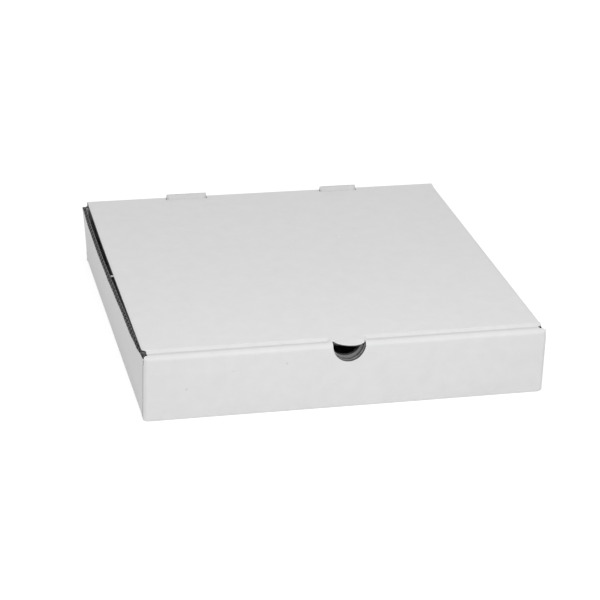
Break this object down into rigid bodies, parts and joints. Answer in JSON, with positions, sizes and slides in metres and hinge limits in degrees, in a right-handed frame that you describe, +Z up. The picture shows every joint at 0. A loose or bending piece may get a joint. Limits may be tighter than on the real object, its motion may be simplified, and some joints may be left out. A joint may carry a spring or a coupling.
{
  "type": "pizza box",
  "caption": "Closed shallow square pizza box folded from white corrugated board, with a hinged lid, an outside front flap, a half-moon thumb tab and rear lock tabs.",
  "frame": {"origin": "centre of the underside of the tray's floor, midway between the side walls", "axes": "+Z up, front with the thumb tab towards -Y, +X to the right seen from the front"},
  "size_m": [0.305, 0.3083, 0.0551],
  "materials": {
    "board": "matt white coated board"
  },
  "bodies": {
    "tray": {"tray": "board"},
    "lid": {"lid": "board"},
    "front_flap": {"front_flap": "board"}
  },
  "joints": [
    {"name": "lid_hinge", "type": "hinge", "parent": "tray", "child": "lid", "pos_m": [0, 0.151, 0.0505], "axis": [-1, 0, 0], "range_deg": [0, 180]},
    {"name": "front_flap_hinge", "type": "hinge", "parent": "lid", "child": "front_flap", "pos_m": [0, -0.151, 0.0505], "axis": [-1, 0, 0], "range_deg": [0, 90]}
  ]
}
